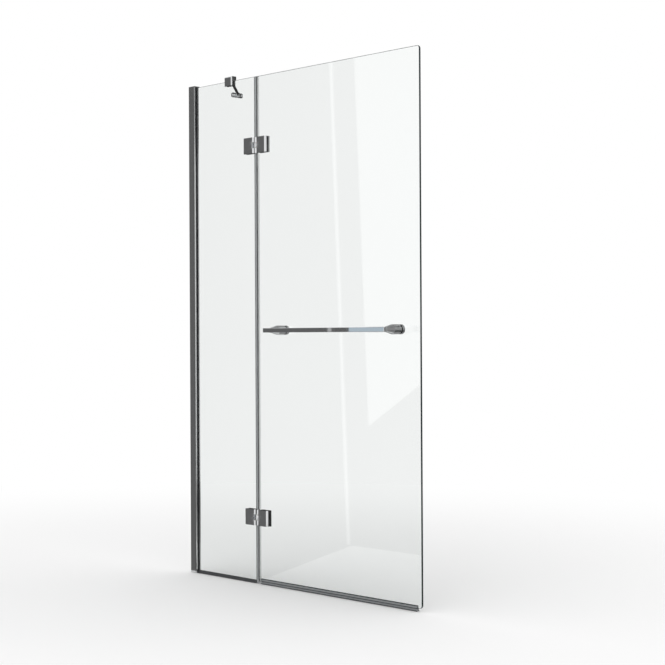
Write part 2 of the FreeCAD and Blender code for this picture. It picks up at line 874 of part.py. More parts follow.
def edge_seal(label, low, high):
    """Hollow bulb seal with a clip on the door's edge, round the hinge axis."""
    body = new_body(label, x=S.axis_reach)
    inner = HALF_GLASS + S.gasket_fit
    outer = inner + S.clip_wall
    end = S.edge_gap + S.clip_grip
    half = [
        (S.edge_gap, inner),
        (end, inner),
        (end, outer),
        (S.edge_gap - S.clip_wall, outer),
    ]
    clip = new_sketch(body, "XY_Plane", lift=low)
    add_pad(body, draw_outline(clip, mirrored_points(half)), high - low)
    bulb_r = S.edge_gap - S.seal_clear
    bulb = draw_circle(new_sketch(body, "XY_Plane", lift=low), bulb_r)
    add_pad(body, bulb, high - low)
    hollow = draw_circle(new_sketch(body, "XY_Plane", lift=low), bulb_r - S.bulb_wall)
    cut_through(body, hollow)


def door_sweep():
    """Clip-on seal under the door, with two fins that spread over the rim."""
    body = new_body("door_bottom_seal")
    inner = HALF_GLASS + S.gasket_fit
    outer = inner + S.clip_wall
    base = S.door_foot - S.clip_wall
    half = [
        (inner, S.door_foot),
        (inner, S.door_foot + S.sweep_grip),
        (outer, S.door_foot + S.sweep_grip),
        (outer, base),
        (S.fin_root, base),
        (S.fin_spread, S.fin_clear),
        (S.fin_spread - S.fin_thick, S.fin_clear),
    ]
    tip = [(ZERO, base - S.fin_thick)]
    points = half + tip + [(-u, v) for u, v in reversed(half)]
    start = S.axis_reach + S.edge_gap + S.sweep_start
    sketch = draw_outline(new_sketch(body, "YZ_Plane", lift=start), points)
    add_pad(body, sketch, S.screen_reach - S.sweep_end - start)


# ---- brace ---------------------------------------------------------------------------------

def slanted_sketch(body, x, y):
    """A sketch square to the brace arm, which runs at half a right angle to the wall."""
    return new_sketch(body, "XZ_Plane", x=x, lift=-y, turn=45)


def brace_clamp():
    """Block that saddles the fixed panel's top edge, with a slanted socket for the arm."""
    body = new_body("brace_clamp", x=S.clamp_at, z=S.glass_top)
    half_wide = S.clamp_wide / 2
    front = new_sketch(body, "XZ_Plane")
    draw_box(front, -half_wide, half_wide, -S.clamp_below, S.clamp_above)
    block = add_pad(body, front, S.clamp_deep, middle=True)
    bevel_edges(
        body,
        block,
        S.clamp_bevel,
        lambda box: (box.ZLength > LONG_RUN and near(box.YMin, -HALF_CLAMP))
        or (flat_at(box.ZMin, box.ZMax, S.clamp_above) and near(box.YMax, -HALF_CLAMP)),
    )
    socket = draw_circle(slanted_sketch(body, ZERO, HALF_CLAMP), S.socket_r)
    add_pad(body, socket, S.socket_r, other=S.socket_long)
    slot = new_sketch(body, "YZ_Plane")
    draw_box(slot, -SLOT_HALF, SLOT_HALF, -(S.clamp_below + S.overcut), S.pad_thick)
    cut_through(body, slot)
    bore = draw_circle(slanted_sketch(body, ZERO, HALF_CLAMP), S.arm_r + S.fit)
    add_cut(
        body,
        "PartDesign::Pocket",
        bore,
        SideType="Two sides",
        Length=S.socket_long + S.overcut,
        Length2=S.arm_bite + S.fit,
    )
    start = HALF_CLAMP + S.overcut
    grip = new_sketch(body, "XZ_Plane", lift=-start)
    draw_circle(grip, S.grip_screw_r + S.fit, S.grip_screw_off, -S.grip_screw_drop)
    add_cut(body, "PartDesign::Pocket", grip, Length=start - HALF_GLASS, Reversed=True)
    set_screw_hole(body, -SOCKET_SCREW, HALF_CLAMP + SOCKET_SCREW, S.socket_r)


def set_screw_hole(body, x, y, cover_r):
    """A hole from below for the screw that holds the arm."""
    start = cover_r + S.overcut
    sketch = new_sketch(body, "XY_Plane", lift=-start)
    draw_circle(sketch, S.set_screw_r + S.fit, x, y)
    add_cut(body, "PartDesign::Pocket", sketch, Length=start - S.arm_r / 2, Reversed=True)


def brace_clamp_pad():
    """Soft pad folded over the top edge of the glass, inside the clamp."""
    body = new_body("brace_clamp_pad", x=S.clamp_at, z=S.glass_top)
    half = [
        (HALF_GLASS, ZERO),
        (HALF_GLASS, S.pad_inset - S.clamp_below),
        (SLOT_HALF, S.pad_inset - S.clamp_below),
        (SLOT_HALF, S.pad_thick),
    ]
    points = half + [(-u, v) for u, v in reversed(half)]
    sketch = draw_outline(new_sketch(body, "YZ_Plane"), points)
    add_pad(body, sketch, S.clamp_wide - S.pad_inset * 2, middle=True)


def brace_clamp_screw():
    """Grub screw through the clamp's rear cheek, bearing on the pad."""
    body = new_body("brace_clamp_screw", x=S.clamp_at, z=S.glass_top)
    sketch = new_sketch(body, "XZ_Plane", lift=-SLOT_HALF)
    draw_circle(sketch, S.grip_screw_r, S.grip_screw_off, -S.grip_screw_drop)
    add_pad(body, sketch, HALF_CLAMP - SLOT_HALF, away=True)


def brace_arm():
    """Round arm from the clamp's socket to the foot's knob."""
    arm = doc.addObject("Part::Cylinder", "brace_arm")
    arm.Label = "brace_arm"
    root_half = Size(0.5**0.5, "sqrt(0.5)")
    span = (S.clamp_at - S.arm_stand) / root_half
    bind(arm, "Radius", S.arm_r)
    bind(arm, "Height", span + S.arm_bite + S.foot_bite)
    direction = FreeCAD.Vector(-1, 1, 0)
    turn = FreeCAD.Rotation(FreeCAD.Vector(0, 0, 1), direction)
    back = S.arm_bite * root_half
    x = S.clamp_at + back
    y = HALF_CLAMP - back
    z = S.glass_top
    arm.Placement = FreeCAD.Placement(FreeCAD.Vector(x.number, y.number, z.number), turn)
    for axis, value in (("x", x), ("y", y), ("z", z)):
        bind(arm, f"Placement.Base.{axis}", value)
    SUBPARTS.append(arm)


def brace_foot():
    """Plate on the wall with two sunk screw holes and a turned knob that takes the end of the arm."""
    body = new_body("brace_wall_foot", y=FOOT_Y, z=S.glass_top)
    half_wide = S.foot_wide / 2
    half_tall = S.foot_tall / 2
    face = new_sketch(body, "YZ_Plane")
    draw_box(face, -half_wide, half_wide, -half_tall, half_tall)
    plate = add_pad(body, face, S.foot_thick)
    plate = round_edges(body, plate, S.foot_corner, lambda box: box.XLength > LONG_RUN)
    bevel_edges(
        body, plate, S.edge_break, lambda box: flat_at(box.XMin, box.XMax, S.foot_thick)
    )
    sink = new_sketch(body, "XY_Plane", y=-(S.foot_hole_pitch / 2))
    draw_outline(
        sink,
        [
            (ZERO, ZERO),
            (ZERO, S.foot_hole_r),
            (S.foot_thick - S.foot_sink, S.foot_hole_r),
            (S.foot_thick, S.foot_sink_r),
            (S.foot_thick, ZERO),
        ],
    )
    repeat(body, cut_round(body, sink, "H_Axis"), sink, "V_Axis", S.foot_hole_pitch, 2)
    waist_r = S.foot_knob_r - S.foot_knob_waist
    knob = new_sketch(body, "XY_Plane")
    draw_outline(
        knob,
        [
            (S.foot_thick / 2, ZERO),
            (S.foot_thick / 2, waist_r),
            (S.foot_thick, waist_r),
            (S.foot_thick + S.foot_knob_waist, S.foot_knob_r),
            (S.foot_knob_end - S.foot_knob_bevel, S.foot_knob_r),
            (S.foot_knob_end, S.foot_knob_r - S.foot_knob_bevel),
            (S.foot_knob_end, ZERO),
        ],
    )
    turn_profile(body, knob, "H_Axis")
    bore = draw_circle(slanted_sketch(body, S.arm_stand, ZERO), S.arm_r + S.fit)
    add_cut(
        body,
        "PartDesign::Pocket",
        bore,
        SideType="Two sides",
        Length=S.foot_bite + S.fit,
        Length2=S.foot_knob_end,
    )
    set_screw_hole(body, S.arm_stand, ZERO, S.foot_knob_r)


def arm_set_screws():
    """Two grub screws from below that hold the arm in its socket and in the foot's knob."""
    places = (
        ("brace_clamp_set_screw", S.clamp_at - SOCKET_SCREW, HALF_CLAMP + SOCKET_SCREW, S.socket_r),
        ("brace_foot_set_screw", S.arm_stand, FOOT_Y, S.foot_knob_r),
    )
    for label, x, y, cover_r in places:
        body = new_body(label, x=x, y=y, z=S.glass_top)
        end = cover_r - S.set_screw_sunk
        sketch = draw_circle(new_sketch(body, "XY_Plane", lift=-end), S.set_screw_r)
        add_pad(body, sketch, end - S.arm_r)


# ---- towel rail ----------------------------------------------------------------------------

def rail_bar():
    """Square bar, with a blind hole at its back for each stud."""
    body = new_body("rail_bar", z=S.rail_high)
    start = RAIL_FIRST - S.rail_over
    end = RAIL_LAST + S.rail_over
    section = new_sketch(body, "YZ_Plane", lift=start)
    draw_box(section, -(S.rail_stand + RAIL_HALF), -RAIL_BACK, -RAIL_HALF, RAIL_HALF)
    bar = add_pad(body, section, end - start)
    bevel_edges(body, bar, S.rail_bevel, lambda box: True)
    holes = new_sketch(body, "XZ_Plane", lift=RAIL_BACK - S.overcut)
    draw_circle(holes, S.stud_r + S.fit, u=RAIL_FIRST)
    deep = S.overcut + S.stud_bite + S.stud_gap
    hole = add_cut(body, "PartDesign::Pocket", holes, Length=deep, Reversed=True)
    repeat(body, hole, holes, "H_Axis", RAIL_PITCH, 2)


def rail_post(name, x):
    """Turned post, drum and cone and a neck that stands against the back of the bar."""
    drum_end = POST_FOOT + S.post_drum
    turned(f"rail_{name}_post", x, [
        (STUD_BORE, -POST_FOOT),
        (S.post_r, -POST_FOOT),
        (S.post_r, -(drum_end - S.post_break)),
        (S.post_r - S.post_break, -drum_end),
        (S.post_neck_r, -(RAIL_BACK - S.post_neck)),
        (S.post_neck_r, -RAIL_BACK),
        (STUD_BORE, -RAIL_BACK),
    ])


def rail_button(name, x):
    """Round cap on the bath side, screwed on the end of the stud."""
    face = POST_FOOT + S.button_long
    floor = face - S.button_floor + S.stud_gap
    turned(f"rail_{name}_button", x, [
        (S.stud_r + S.fit, POST_FOOT),
        (S.post_r, POST_FOOT),
        (S.post_r, face - S.button_bevel),
        (S.post_r - S.button_bevel, face),
        (ZERO, face),
        (ZERO, floor),
        (S.stud_r + S.fit, floor),
    ])


def rail_studs():
    """Studs through the door, from the buttons to the back of the bar."""
    end = POST_FOOT + S.button_long - S.button_floor
    tip = RAIL_BACK + S.stud_bite
    rail_pair("rail_studs", [(ZERO, end), (S.stud_r, end), (S.stud_r, -tip), (ZERO, -tip)])


def rail_washers():
    """Soft washers on both faces of the glass."""
    edge = S.post_r - S.washer_inset
    rail_pair(
        "rail_washers",
        ring(STUD_BORE, edge, -HALF_GLASS, -POST_FOOT),
        ring(STUD_BORE, edge, HALF_GLASS, POST_FOOT),
    )


def rail_sleeves():
    """Sleeves that keep the studs off the glass."""
    end = HALF_GLASS - S.sleeve_gap
    rail_pair("rail_sleeves", ring(STUD_BORE, S.glass_hole_r - S.sleeve_gap, -end, end))


def ring(inner, outer, near_face, far_face):
    """Half the section of a plain ring."""
    return [(inner, near_face), (outer, near_face), (outer, far_face), (inner, far_face)]


def turned(label, x, *outlines):
    """A body turned about the axis that runs square through the door at the rail's height."""
    body = new_body(label, x=x, z=S.rail_high)
    for points in outlines:
        turn_profile(body, draw_outline(new_sketch(body, "XY_Plane"), points))
    return body


def rail_pair(label, *outlines):
    """The same small turned pieces at both ends of the rail, in one body."""
    body = turned(label, RAIL_FIRST, *outlines)
    features = [item for item in body.Group if item.isDerivedFrom("PartDesign::Revolution")]
    sketch = features[0].Profile[0]
    repeat(body, features, sketch, "H_Axis", RAIL_PITCH, 2)


# ---- the whole screen ----------------------------------------------------------------------

def build():
    """Make every piece in the document."""
    wall_channel()
    glass_carrier()
    glazing_gasket("front_gasket", -1)
    glazing_gasket("back_gasket", 1)
    channel_top_cap()
    adjusting_screws()
    screw_covers()
    fixed_glass()
    fixed_base_strip()
    door_glass()
    hinge("lower_hinge", S.hinge_low)
    hinge("upper_hinge", HINGE_HIGH)
    leaf_screws("fixed_leaf_screws", -1)
    leaf_screws("door_leaf_screws", 1)
    seal_end = HALF_TALL + S.seal_end_gap
    edge_seal("door_edge_seal_lower", S.seal_foot, S.hinge_low - seal_end)
    edge_seal("door_edge_seal_middle", S.hinge_low + seal_end, HINGE_HIGH - seal_end)
    edge_seal("door_edge_seal_upper", HINGE_HIGH + seal_end, S.glass_top)
    door_sweep()
    brace_clamp()
    brace_clamp_pad()
    brace_clamp_screw()
    brace_arm()
    brace_foot()
    arm_set_screws()
    rail_bar()
    for name, x in (("left", RAIL_FIRST), ("right", RAIL_LAST)):
        rail_post(name, x)
        rail_button(name, x)
    rail_studs()
    rail_washers()
    rail_sleeves()


def check():
    """Stop if any object failed or any piece has no sound shape."""
    doc.recompute()
    for item in doc.Objects:
        if "Invalid" in item.State or "Error" in item.State:
            raise RuntimeError(f"{item.Label} failed: {item.State}")
    for piece in SUBPARTS:
        if piece.Shape.isNull() or not piece.Shape.isValid() or not piece.Shape.Solids:
            raise RuntimeError(f"{piece.Label} has no sound shape")


def write():
    """Write one file for each piece."""
    os.makedirs("parts", exist_ok=True)
    for piece in SUBPARTS:
        piece.Shape.exportStep(f"parts/{piece.Label}.step")
    print(f"{len(SUBPARTS)} pieces written")


build()
check()
write()
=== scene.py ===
import json
from math import radians, tau

import bpy
from mathutils import Matrix, Vector

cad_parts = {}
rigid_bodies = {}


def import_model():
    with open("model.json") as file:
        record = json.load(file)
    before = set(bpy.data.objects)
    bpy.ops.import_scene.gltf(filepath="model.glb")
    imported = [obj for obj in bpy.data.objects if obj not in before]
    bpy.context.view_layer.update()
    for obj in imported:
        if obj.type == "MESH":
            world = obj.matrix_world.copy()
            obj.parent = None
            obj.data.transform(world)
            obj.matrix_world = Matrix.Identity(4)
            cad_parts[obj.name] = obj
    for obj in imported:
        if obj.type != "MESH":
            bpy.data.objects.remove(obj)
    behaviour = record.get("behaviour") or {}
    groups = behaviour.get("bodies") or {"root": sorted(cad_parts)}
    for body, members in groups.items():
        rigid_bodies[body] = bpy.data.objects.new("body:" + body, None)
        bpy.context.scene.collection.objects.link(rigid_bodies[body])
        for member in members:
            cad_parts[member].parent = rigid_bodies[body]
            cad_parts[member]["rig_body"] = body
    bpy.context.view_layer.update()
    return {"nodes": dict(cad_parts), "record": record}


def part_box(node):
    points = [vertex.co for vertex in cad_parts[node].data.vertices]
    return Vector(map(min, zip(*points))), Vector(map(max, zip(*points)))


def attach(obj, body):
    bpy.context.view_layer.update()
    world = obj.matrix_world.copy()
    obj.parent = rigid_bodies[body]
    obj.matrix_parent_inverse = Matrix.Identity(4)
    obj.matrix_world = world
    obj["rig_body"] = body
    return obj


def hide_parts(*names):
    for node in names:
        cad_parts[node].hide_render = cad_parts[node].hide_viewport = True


bl_info = {
    "name": "Hinged Bath Screen",
    "version": (1, 0, 0),
    "blender": (4, 5, 0),
    "location": "View3D > Sidebar > Bath Screen",
    "description": "Dresses the bath screen's construction with glass, chrome and seals",
    "category": "Object",
}

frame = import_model()

HINGES = ("lower_hinge", "upper_hinge")

# Meshes, with lengths in metres.
SHARP = radians(32)         # Edges sharper than this are eased, and shaded as edges.
FACET_TURN = radians(0.5)   # Facets that turn less than this make one face.
WELD = 1e-6                 # Points closer than this are one point.
FACES_BACK = 0.99           # Least share of a normal along Y, on a screw head's flat face.
HEAD_DEPTH = 1e-5           # The flat heads lie within this of a screw's outermost point.
PANE_FACE = 0.9             # Least share of a normal along Y, on a pane's two large faces.
FACE_WEIGHT = 90            # How much the large faces lead the shading of an eased edge.

# Materials, with lengths in metres.
NOISE_LOW, NOISE_HIGH = 0.3, 0.7        # Most of a noise lies between these.
GLASS_ABSORPTION = 9.0                  # Density of the tint in the depth of the glass.
SEAL_PASSES = 0.42                      # Share of light that the cloudy seal lets through.
LIP_PASSES = 0.97                       # The same in the clear lips of the door edge's seal.
LINE_PASSES, WALL_PASSES = 0.10, 0.60   # The same in the bottom seal's painted shade lines, and between.
LIP_BLUR = 0.0005                       # Half the width over which the bulb turns into lips.
LINE_INSET = 0.0006                     # From that seal's top and foot to its outer painted shade lines.
LINE_START, LINE_STOP = 0.0008, 0.0018  # A painted shade line fades out between these from its middle.

# Floor, lamp and camera, in metres.
FLOOR_DROP = 0.0006                 # The floor lies this far below the screen's foot.
FADE_START, FADE_STOP = 0.55, 2.6   # It fades to white between these from the origin.
LAMP_PLACE = (1.6, -3.2, 3.4)
LAMP_AIM = (0.45, 0, 0.6)
LAMP_WIDE, LAMP_DEEP = 2.6, 2.0
SIGHT = 100                         # How far the camera sees.

# Every card glows in its own shade and is seen only in a mirror, where it paints a reflection
# on the metal and the glass.
# Cards before the screen, in metres: the x and z of each corner. The door's glass mirrors the
# gap between the first two, and the white past the others, as pale streaks.
FRONT_Y = -0.7
CARD_LEFT = -1.8
CARD_TOP = 2.4
FRONT_CARD = ((CARD_LEFT, 0), (-0.075, 0), (-0.185, CARD_TOP), (CARD_LEFT, CARD_TOP))
STRIP_CARD = ((-0.060, 0), (0.045, 0), (-0.070, CARD_TOP), (-0.170, CARD_TOP))
LOW_CARD = ((0.045, 0), (0.27, 0), (0.27, 0.54), (0.026, 0.39))

# Cards that stand on a line, in metres: the x and y of its ends, and heights.
SIDE_BACK, SIDE_FRONT = (1.44, 1.04), (2.0, 0.45)   # Past the door's free edge.
HIGH_BACK, HIGH_FOOT = (0.95, 1.55), 1.44           # On from there behind the door, high up.
END_FRONT = (2.05, -0.8)                            # On from there towards the camera.
BACK_LEFT, BACK_RIGHT = (-2.2, 0.3), (0.2, 2.2)     # Behind the wall's end.
BACK_FOOT, BACK_TOP = 0.1, 1.95
PALE_START, PALE_STOP = 0.35, 0.65  # A card's painted reflection turns from its low to its high shade here.
MIRRORED = 0.5                      # The glossy depth is above this after a first mirror.

# Cards that lie level, in metres: the x and y of corners, and heights.
CARD_RIGHT = 2.2
ROOF_LOW, ROOF_HIGH, ROOF_Z = (-0.6, -0.8), (2.6, 2.4), 2.1
CORNER_LOW, CORNER_HIGH = (0.92, -0.8), (CARD_RIGHT, 0.35)
GROUND_LOW, GROUND_HIGH, GROUND_Z = (-0.2, 0.35), (CARD_RIGHT, 2.0), 0.01
UNDER_LOW, UNDER_HIGH, UNDER_Z = (1.05, 0.4), (CARD_RIGHT, 1.6), 0.02
FOOT_CARD = ((CARD_LEFT, FRONT_Y), (-0.05, FRONT_Y), (0.26, -0.03), (CARD_LEFT, -0.03))
FOOT_CARD_Z = 0.001

# Near cards, in metres: the part of a face that mirrors each, a painted highlight on the
# hinges and painted reflections on the bar.
NEAR_CARD_Y = -0.15                                 # The plane that these cards stand in.
HINGE_LINE, HINGE_FACE_Y = (0.282, 0.2965), -0.0075     # Across the knuckles, and their front.
HINGE_HALF = 0.011                                  # Up and down from a leaf's middle.
# The knuckles' painted highlight is this white.
HINGE_HIGHLIGHT = 0.95
RAIL_STOPS = (0.350, 0.637, 0.651, 0.714, 0.870)    # Where the bar's painted reflections change tone along it.
RAIL_UNDER, RAIL_OVER = 0.002, 0.0025               # How far past the bar the cards reach.


# ---- sizes and colours that a user would change --------------------------------------------

def length(name, default, description):
    """A setting in metres."""
    return bpy.props.FloatProperty(
        name=name, description=description, default=default, unit="LENGTH",
    )


def angle(name, degrees, description):
    """A setting that is shown in degrees."""
    return bpy.props.FloatProperty(
        name=name, description=description, default=radians(degrees), subtype="ANGLE",
    )


def grey(name, default, description):
    """A shade from black to white."""
    return bpy.props.FloatProperty(
        name=name, description=description, default=default, min=0, max=1,
    )


def colour(name, default, description):
    """A colour setting."""
    return bpy.props.FloatVectorProperty(
        name=name, description=description, default=default, subtype="COLOR", min=0, max=1,
    )


class ScreenSizes(bpy.types.PropertyGroup):
    """Small sizes of the finish, in metres."""

    glass_arris: length(
        "Glass arris", 0.00015, "Width of the softened line along the edges of the glass")
    fitting_edge: length(
        "Fitting edge", 0.00045, "Width of the eased edges on hinges, brace and bar")
    profile_edge: length(
        "Profile edge", 0.0003, "Width of the eased edges on the wall profile")
    seal_edge: length(
        "Seal edge", 0.0002, "Width of the eased edges on seals and gaskets")
    post_edge: length(
        "Post edge", 0.0007, "Width of the eased edges on the posts' drums and cones")
    button_edge: length(
        "Button edge", 0.0014, "Width of the eased edge round the face of a button")
    screw_edge: length(
        "Screw edge", 0.00012, "Width of the eased edges on the screws and in their sockets")
    socket_across: length(
        "Key socket", 0.0019, "Radius over the corners of the screws' key sockets")
    socket_deep: length(
        "Key socket depth", 0.0014, "Depth of the screws' key sockets")


class ScreenColours(bpy.types.PropertyGroup):
    """Colours of the finish."""

    glass: colour(
        "Glass", (0.985, 0.990, 0.986), "Tint of the glass seen face on")
    glass_depth: colour(
        "Glass depth", (0.42, 0.62, 0.56), "Tint of the glass seen along its edge")
    glass_edge: colour(
        "Glass edge", (0.035, 0.052, 0.055), "Edge of the glass, deep green-grey")
    chrome: colour(
        "Chrome", (0.74, 0.75, 0.76), "Plated hinges, clamp, foot and rail")
    aluminium: colour(
        "Aluminium", (0.70, 0.705, 0.71), "Bright anodised wall profile")
    steel: colour(
        "Steel", (0.60, 0.60, 0.61), "Screws, pins and studs")
    seal: colour(
        "Seal", (0.50, 0.52, 0.53), "Cloudy seals on the door")
    seal_lip: colour(
        "Seal lip", (0.90, 0.91, 0.91), "Clear lips of the door edge's seal")
    # Painted shade: dark lines where the bottom seal's lips, floor and fins lie edge on.
    seal_shade_line: colour(
        "Seal line", (0.035, 0.04, 0.042), "Dark lines along the bottom seal")
    gasket: colour(
        "Gasket", (0.050, 0.052, 0.056), "Glazing gaskets and base strip")
    rubber: colour(
        "Rubber", (0.028, 0.028, 0.030), "Pads, liners and washers")
    nylon: colour(
        "Nylon", (0.78, 0.77, 0.73), "Bushes and sleeves")


class ScreenStage(bpy.types.PropertyGroup):
    """Camera, floor and light."""

    camera_place: bpy.props.FloatVectorProperty(
        name="Camera place", description="Where the camera stands",
        subtype="TRANSLATION", unit="LENGTH", default=(3.3958, -2.7109, 0.6874),
    )
    camera_turn: angle(
        "Camera turn", 46.043, "Turn of the camera about the upright")
    camera_tilt: angle(
        "Camera tilt", 0.061, "Tilt of the camera above the level")
    camera_roll: angle(
        "Camera roll", -0.289, "Roll of the camera about its line of sight")
    lens: bpy.props.FloatProperty(
        name="Lens", description="Focal length for a 36 mm sensor", default=80.741,
    )
    floor_reach: length(
        "Floor reach", 14.0, "Half the width of the floor")
    floor_colour: colour(
        "Floor", (0.96, 0.96, 0.96), "Colour of the floor")
    fill: bpy.props.FloatProperty(
        name="Fill", description="Strength of the light from all round", default=0.92,
    )
    # The cards glow in these shades, which are painted reflections in the metal and the glass.
    card_grey: grey(
        "Card grey", 0.15, "Grey of the cards that the front faces mirror")
    card_middle: grey(
        "Card middle", 0.30, "Grey of the cards that round and upper side faces mirror")
    card_black: grey(
        "Card black", 0.02, "Grey of the cards that lower sides and undersides mirror")
    card_bright: grey(
        "Card bright", 0.50, "Grey of the narrow card that the rail mirrors as a line")
    card_pale: colour(
        "Card pale", (0.54, 0.63, 0.70), "Colour of the card that the bar's right end mirrors")
    key_power: bpy.props.FloatProperty(
        name="Key lamp", description="Power of the soft lamp over the camera",
        unit="POWER", default=18.0,
    )


def sizes():
    return bpy.context.scene.bath_screen_sizes


def colours():
    return bpy.context.scene.bath_screen_colours


def stage():
    return bpy.context.scene.bath_screen_stage


# ---- helpers for meshes --------------------------------------------------------------------

def select_only(piece):
    """Make one object the only one that the operators act on."""
    bpy.ops.object.select_all(action="DESELECT")
    piece.select_set(True)
    bpy.context.view_layer.objects.active = piece


def apply_modifier(piece, kind, **settings):
    """Put a modifier on a piece and apply it."""
    select_only(piece)
    modifier = piece.modifiers.new(kind.title(), kind)
    for name, value in settings.items():
        setattr(modifier, name, value)
    bpy.ops.object.modifier_apply(modifier=modifier.name)


def ease(piece, width, segments):
    """Round over every sharp edge of a piece."""
    apply_modifier(
        piece, "BEVEL", width=width, segments=segments,
        limit_method="ANGLE", angle_limit=SHARP,
    )


def settle(piece, material, body, node):
    """Give a finished piece its place, shading, material and body, and hide the CAD piece that
    it stands in for.
    """
    select_only(piece)
    bpy.ops.object.transform_apply(location=True, rotation=True, scale=True)
    bpy.ops.object.shade_smooth_by_angle(angle=SHARP)
    apply_modifier(piece, "WEIGHTED_NORMAL", keep_sharp=True, weight=FACE_WEIGHT)
    piece.data.materials.clear()
    piece.data.materials.append(material)
    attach(piece, body)
    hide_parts(node)


def whole_copy(node, name):
    """A copy of a CAD piece with its loose triangles joined into whole faces."""
    mesh = frame["nodes"][node].data.copy()
    piece = bpy.data.objects.new(name, mesh)
    bpy.context.scene.collection.objects.link(piece)
    select_only(piece)
    bpy.ops.mesh.customdata_custom_splitnormals_clear()
    bpy.ops.object.mode_set(mode="EDIT")
    bpy.ops.mesh.select_all(action="SELECT")
    bpy.ops.mesh.remove_doubles(threshold=WELD)
    bpy.ops.mesh.dissolve_limited(angle_limit=FACET_TURN)
    bpy.ops.object.mode_set(mode="OBJECT")
    return piece


def body_of(node):
    """The body that a CAD piece rides on."""
    return frame["nodes"][node]["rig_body"]


def slot_of(node):
    """The material slot that the record gives a CAD piece."""
    rows = frame["record"]["subparts"]
    return next(row["material_slot"] for row in rows if row["node"] == node)


def dress(node, name, width, segments=2, look=None, cut=None):
    """Stand an eased copy in for a CAD piece, in the look of its slot unless another is named.

    A cut is a function that changes the copy before its edges are eased.
    """
    piece = whole_copy(node, name)
    if cut:
        cut(piece)
    ease(piece, width, segments)
    slot = slot_of(node)
    settle(piece, finish(look or slot), body_of(node), node)
    return piece


def cut_sockets(piece):
    """Cut a six-sided key socket in each flat screw head on the bath side."""
    outermost = max(vertex.co.y for vertex in piece.data.vertices)
    heads = [
        face.center.copy() for face in piece.data.polygons
        if face.normal.y > FACES_BACK and face.center.y > outermost - HEAD_DEPTH
    ]
    if not heads:
        raise RuntimeError(f"{piece.name} has no flat screw heads")
    for head in heads:
        bpy.ops.object.select_all(action="DESELECT")
        bpy.ops.mesh.primitive_cylinder_add(
            vertices=6, radius=sizes().socket_across, depth=sizes().socket_deep * 2,
            location=head, rotation=(tau / 4, 0, 0),
        )
        key = bpy.context.object
        apply_modifier(piece, "BOOLEAN", object=key, operation="DIFFERENCE", solver="EXACT")
        bpy.data.objects.remove(key)


# ---- helpers for materials -----------------------------------------------------------------

class Nodes:
    """A node tree, with short calls for the nodes that the materials and the world use."""

    def __init__(self, tree):
        self.tree = tree

    def add(self, kind, **settings):
        """A new node with its settings."""
        node = self.tree.nodes.new(f"ShaderNode{kind}")
        for name, value in settings.items():
            setattr(node, name, value)
        return node

    def link(self, source, target):
        self.tree.links.new(source, target)

    def feed(self, target, source):
        """Link a socket to another one, or give it a plain value."""
        if isinstance(source, bpy.types.NodeSocket):
            self.link(source, target)
        else:
            target.default_value = source

    def maths(self, operation, first, second):
        node = self.add("Math", operation=operation)
        self.feed(node.inputs[0], first)
        self.feed(node.inputs[1], second)
        return node.outputs["Value"]

    def spread(self, value, start, stop, low=0.0, high=1.0, **settings):
        """Low up to the start of a value's range, high from its stop, and even between."""
        node = self.add("MapRange", **settings)
        node.inputs["From Min"].default_value = start
        node.inputs["From Max"].default_value = stop
        node.inputs["To Min"].default_value = low
        node.inputs["To Max"].default_value = high
        self.link(value, node.inputs["Value"])
        return node.outputs["Result"]

    def blend(self, share, first, second):
        """The first colour at a share of 0, and the second at 1."""
        node = self.add("Mix", data_type="RGBA")
        self.link(share, node.inputs["Factor"])
        self.feed(node.inputs["A"], first)
        self.feed(node.inputs["B"], second)
        return node.outputs["Result"]

    def mix(self, share, first, second):
        """The first shader at a share of 0, and the second at 1."""
        node = self.add("MixShader")
        self.link(share, node.inputs["Fac"])
        self.link(first, node.inputs[1])
        self.link(second, node.inputs[2])
        return node.outputs["Shader"]

    def looked_at(self):
        """1 for what is seen, in a mirror or through glass too, and 0 for what only lights."""
        path = self.add("LightPath")
        share = path.outputs["Is Camera Ray"]
        for ray in ("Is Glossy Ray", "Is Transmission Ray"):
            share = self.maths("MAXIMUM", share, path.outputs[ray])
        return share


